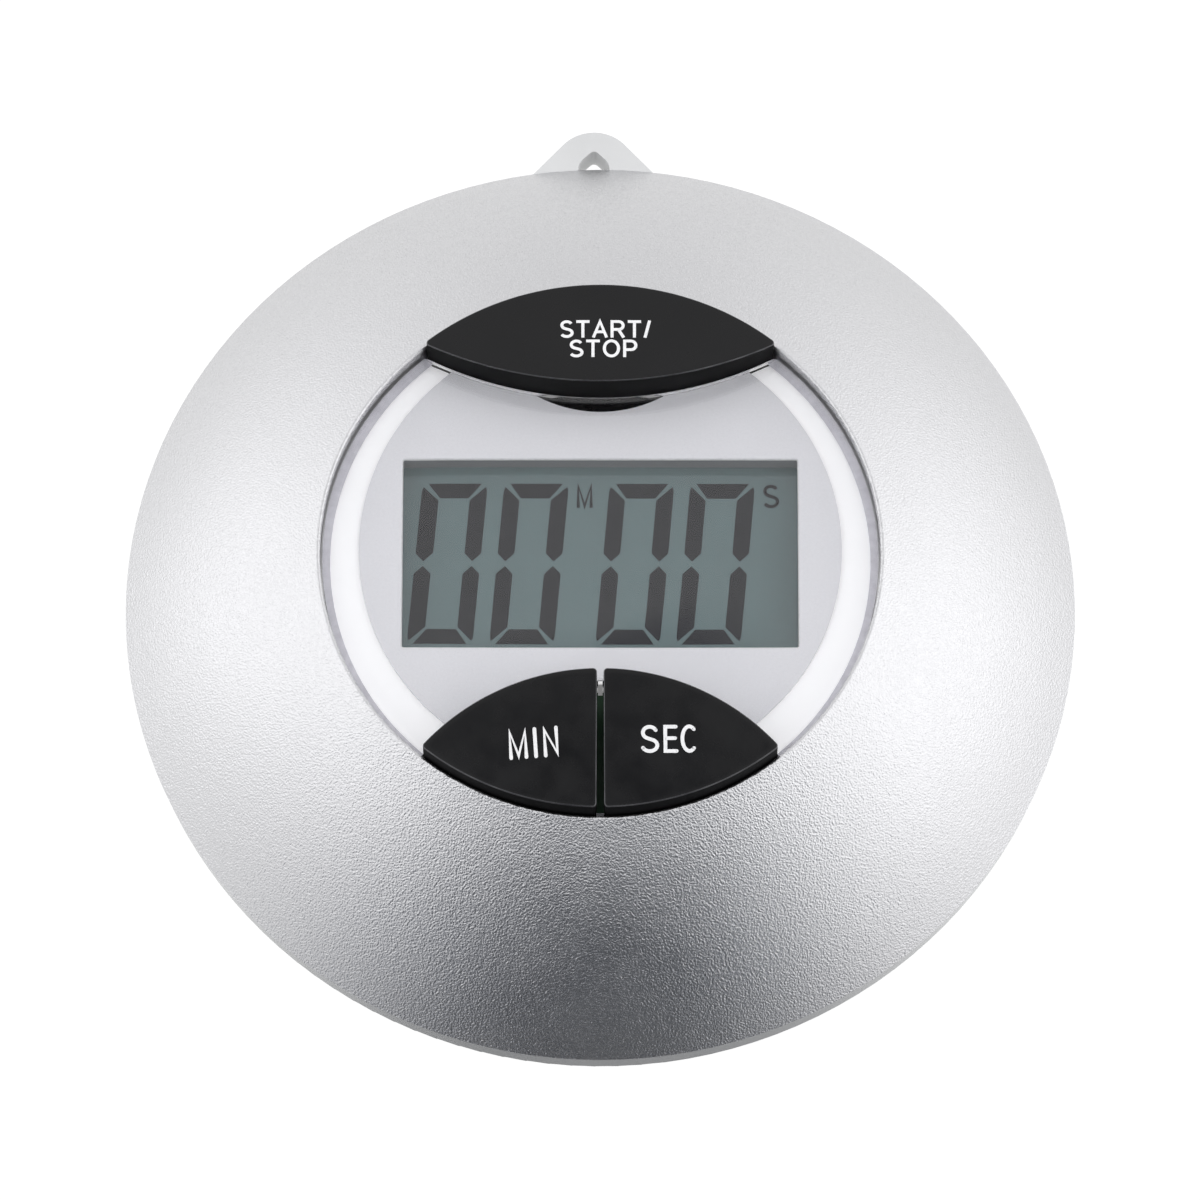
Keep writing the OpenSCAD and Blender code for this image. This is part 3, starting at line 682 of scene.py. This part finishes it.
def window_loop(inset, height):
    """Outline of the display window with small round corners, moved inwards by an inset."""
    corner, steps = WINDOW_CORNER_R, 8
    loop = []
    for sign_x, sign_y, start in ((1, 1, 0), (-1, 1, 90), (-1, -1, 180), (1, -1, 270)):
        for k in range(steps):
            turn = math.radians(start + 90 * k / (steps - 1))
            x = sign_x * (WINDOW_W / 2 - corner) + (corner - inset) * math.cos(turn)
            y = sign_y * (WINDOW_H / 2 - corner) + (corner - inset) * math.sin(turn)
            loop.append((x, WINDOW_Y + y, height))
    return loop


def make_window_edges(highlight_white, shade_wall):
    """Fine bright edge round the display window, a painted highlight on the dial's cut edge, over a thin
    grey wall that is painted shade. Both stay clear of the faces next to them."""
    clear, bevel = 0.01, 0.09
    shapes = (
        # Painted highlight: a white band on the dial's cut edge round the window.
        ("window_edge_highlight", DIAL_BOTTOM, DIAL_TOP - clear, bevel, "dial_foil", highlight_white),
        # Painted shade: a grey wall in the rubber's colour, where the window's wall lies in shadow.
        ("window_shade_wall", DISPLAY_TOP + 2 * clear, DIAL_BOTTOM - clear, 0, "key_rubber", shade_wall),
    )
    for name, low, high, slope, slot, material in shapes:
        outer = [window_loop(0, low), window_loop(0, high)]
        inner = [window_loop(TRIM_W, high - slope), window_loop(TRIM_W, low)]
        add_object(name, tube_mesh(name, outer + inner), "root", material)


# The display's digits: width, height, slant, left edges and the height of their middle
DIGIT_W = 6.4
DIGIT_H = 16.77
DIGIT_SLANT = math.tan(math.radians(4.95))
DIGIT_LEFTS = (-19.06, -11.01, -0.56, 7.43)
DIGIT_Y = 0.25
# How far printed ink reaches below and above the face it lies on
INK = (-0.03, 0.03)


def digit_segments():
    """The six outer segments of a zero: the top bar and the two upper bars, then mirrored down.
    Points are (to the right, down) from the digit's top left corner."""
    bar_end, bar_in, bar_t = 0.6, 1.78, 1.54
    bar = [(bar_end, 0), (DIGIT_W - bar_end, 0), (DIGIT_W - bar_in, bar_t), (bar_in, bar_t)]
    side = [(0.15, 0.33), (1.65, 1.77), (1.65, 7.3), (0.82, 8.13), (0, 7.32), (0, 0.97), (0.04, 0.6)]
    other_side = [(DIGIT_W - x, y) for x, y in side]
    return [
        [Vector((x, flip * (DIGIT_H / 2 - y))) for x, y in points]
        for flip in (1, -1) for points in (bar, side, other_side)
    ]


def on_display(x, y):
    """Height of the face that the digits lie on."""
    return DISPLAY_TOP


def make_digits(ink):
    """Four zeros and the small letters M and S, dark on the display."""
    polygons = []
    for left in DIGIT_LEFTS:
        for segment in digit_segments():
            polygons.append([
                Vector((left + p.x + (p.y + DIGIT_H / 2) * DIGIT_SLANT, DIGIT_Y + p.y)) for p in segment
            ])
    mesh = flat_mesh("display_digits", polygons, on_display, *INK)
    add_object("display_digits", mesh, "root", ink)
    for name, word, x in (("display_m", "M", -1.6), ("display_s", "S", 16.85)):
        polygons = word_polygons(word, (x, 7.35), 2.45, 1.6, 0.34)
        mesh = flat_mesh(name, polygons, on_display, *INK)
        add_object(name, mesh, "root", ink)


def make_legends(ink):
    """White legends printed on the crowned button tops."""
    words = [
        ("legend_start", "START/", (0.5, 22.4), 1.9, 8.95, 0.3, 0, 0.15, False, "start_stop_button"),
        ("legend_stop", "STOP", (0.3, 20.25), 1.9, 6.7, 0.3, 0, 0.14, False, "start_stop_button"),
        ("legend_min", "MIN", (-6.48, -20.98), 2.8, 4.9, 0.36, 3.8, 0.2, True, "min_button"),
        ("legend_sec", "SEC", (6.6, -20.6), 2.8, 5.4, 0.36, 0.8, 0.17, True, "sec_button"),
    ]
    for name, word, centre, height, width, pen, turn, gap, round_ends, body in words:
        polygons = word_polygons(word, centre, height, width, pen, turn, gap, round_ends)
        mesh = flat_mesh(name, polygons, crown, *INK)
        add_object(name, mesh, body, ink)


# ---------------------------------------------------------------- stage and light

def compute(tree, operation, a, b=0.0):
    """Result of one arithmetic step on values or sockets."""
    node = tree.nodes.new("ShaderNodeMath")
    node.operation = operation
    for socket, value in zip(node.inputs, (a, b)):
        if isinstance(value, (int, float)):
            socket.default_value = value
        else:
            tree.links.new(value, socket)
    return node.outputs["Value"]


def blend(tree, a, b, share):
    """Value that goes from a to b as share goes from 0 to 1."""
    return compute(tree, "ADD", a, compute(tree, "MULTIPLY", compute(tree, "SUBTRACT", b, a), share))


def soft_step(tree, value, start, end, low=0.0, high=1.0):
    """Smooth rise from low to high as value runs from start to end."""
    node = tree.nodes.new("ShaderNodeMapRange")
    node.interpolation_type = "SMOOTHSTEP"
    node.inputs["From Min"].default_value = start
    node.inputs["From Max"].default_value = end
    node.inputs["To Min"].default_value = low
    node.inputs["To Max"].default_value = high
    tree.links.new(value, node.inputs["Value"])
    return node.outputs["Result"]


def place_axes(tree, output):
    """The x, y and z of a place or direction."""
    place = tree.nodes.new("ShaderNodeTexCoord")
    split = tree.nodes.new("ShaderNodeSeparateXYZ")
    tree.links.new(place.outputs[output], split.inputs["Vector"])
    return [split.outputs[axis] for axis in "XYZ"]


def sideways_share(tree, x, y, core):
    """How far a place lies to the sides: 0 straight ahead, 1 at the sides and 0 near the middle."""
    squares = compute(tree, "ADD", compute(tree, "MULTIPLY", x, x), compute(tree, "MULTIPLY", y, y))
    level = compute(tree, "SQRT", compute(tree, "ADD", squares, core))
    return compute(tree, "DIVIDE", compute(tree, "ABSOLUTE", x), level)


# Size of the floor and how far under the object it lies, in metres
FLOOR_SIZE = 6
FLOOR_DROP = 0.0002
# Brightness of the floor as the camera sees it, and as the object sees it ahead and at its sides
FLOOR_SEEN = 0.98
FLOOR_AHEAD = 0.14
FLOOR_SIDES = 0.95


def make_stage():
    """Plain floor, white to the camera, that lights the object less from the camera's side."""
    bpy.ops.mesh.primitive_plane_add(size=FLOOR_SIZE, location=(0, 0, -FLOOR_DROP))
    floor = bpy.context.object
    floor.name = "floor"
    material, tree = new_material("floor_white", (0.05, 0.05, 0.05), 0.8)
    shader = principled(tree)
    shader.inputs["Emission Color"].default_value = (1, 1, 1, 1)
    x, y, _ = place_axes(tree, "Object")
    front = soft_step(tree, sideways_share(tree, x, y, 0.0001), 0.3, 0.9, FLOOR_AHEAD, FLOOR_SIDES)
    behind = soft_step(tree, y, -0.02, 0.03)
    lit = blend(tree, front, FLOOR_SIDES, behind)
    ray = tree.nodes.new("ShaderNodeLightPath")
    seen = compute(tree, "MULTIPLY", ray.outputs["Is Camera Ray"], FLOOR_SEEN)
    strength = compute(tree, "MAXIMUM", lit, seen)
    tree.links.new(strength, shader.inputs["Emission Strength"])
    floor.data.materials.append(material)


# Brightness of the light tent: its opening towards the camera, its two sides, its back and what the
# back gains at its sides
TENT_OPENING = 0.06
TENT_SIDES = 1.85
TENT_BACK = 0.93
TENT_BACK_GAIN = 0.95
# What is left of the sides' light low down, and on the left
LOW_SHARE = 0.8
LEFT_SHARE = 0.64
# The soft lamp in the tent: the y and z of its direction, and its brightness
LAMP_Y = -0.29
LAMP_Z = 0.957
LAMP_GLOW = 1.4


def tent_sides(tree, x, y, z):
    """Light from the front half of the tent: dark straight ahead and bright at the sides."""
    sides = soft_step(tree, sideways_share(tree, x, y, 0.05), 0.28, 1.05, TENT_OPENING, TENT_SIDES)
    dimmed_low = soft_step(tree, z, 0.0, 0.5, LOW_SHARE, 1.0)
    left_or_low = compute(tree, "ADD", x, compute(tree, "MULTIPLY", z, 1.5))
    dimmed_left = soft_step(tree, left_or_low, -0.7, 0.4, LEFT_SHARE, 1.0)
    return compute(tree, "MULTIPLY", sides, compute(tree, "MULTIPLY", dimmed_low, dimmed_left))


def tent_lamp(tree, y, z):
    """Soft lamp a little in front of straight overhead, which lights the flat faces most."""
    along = compute(tree, "ADD", compute(tree, "MULTIPLY", y, LAMP_Y), compute(tree, "MULTIPLY", z, LAMP_Z))
    return soft_step(tree, along, 0.945, 0.995, 0, LAMP_GLOW)


def make_light():
    """A white light tent, brightest at its two sides, with a dark opening towards the camera."""
    world = bpy.data.worlds.new("light_tent")
    world.use_nodes = True
    tree = world.node_tree
    x, y, z = place_axes(tree, "Generated")
    front = compute(tree, "ADD", tent_sides(tree, x, y, z), tent_lamp(tree, y, z))
    back_gain = compute(tree, "MULTIPLY", compute(tree, "MULTIPLY", x, x), TENT_BACK_GAIN)
    back = compute(tree, "ADD", back_gain, TENT_BACK)
    overhead = compute(tree, "MULTIPLY", compute(tree, "MULTIPLY", z, z), 0.24)
    behind = soft_step(tree, compute(tree, "SUBTRACT", y, overhead), -0.05, 0.05)
    strength = blend(tree, front, back, behind)
    background = tree.nodes["Background"]
    tint = mix_colours(tree, soft_step(tree, strength, 0.1, 0.9), (0.86, 0.93, 1.1), (0.99, 0.99, 1))
    tree.links.new(tint, background.inputs["Color"])
    tree.links.new(strength, background.inputs["Strength"])
    bpy.context.scene.world = world
    bpy.context.scene.view_settings.view_transform = "Standard"


# ---------------------------------------------------------------- build

make_camera()
materials = make_materials()
dress_cad_nodes(materials)
make_buttons(materials["black_button"], button_edge_highlight(), button_wall())
make_lens(materials["clear_lens"], lens_cut_highlight())
# The grey ring under the lens's rim is painted refraction.
make_rim_refraction_ring(rim_refraction_grey())
# The window gets a painted highlight, and the key rubber's grey as painted shade on its wall.
make_window_edges(white_print_and_highlight(), materials["key_rubber"])
make_digits(segment_ink())
make_legends(white_print_and_highlight())
make_stage()
make_light()
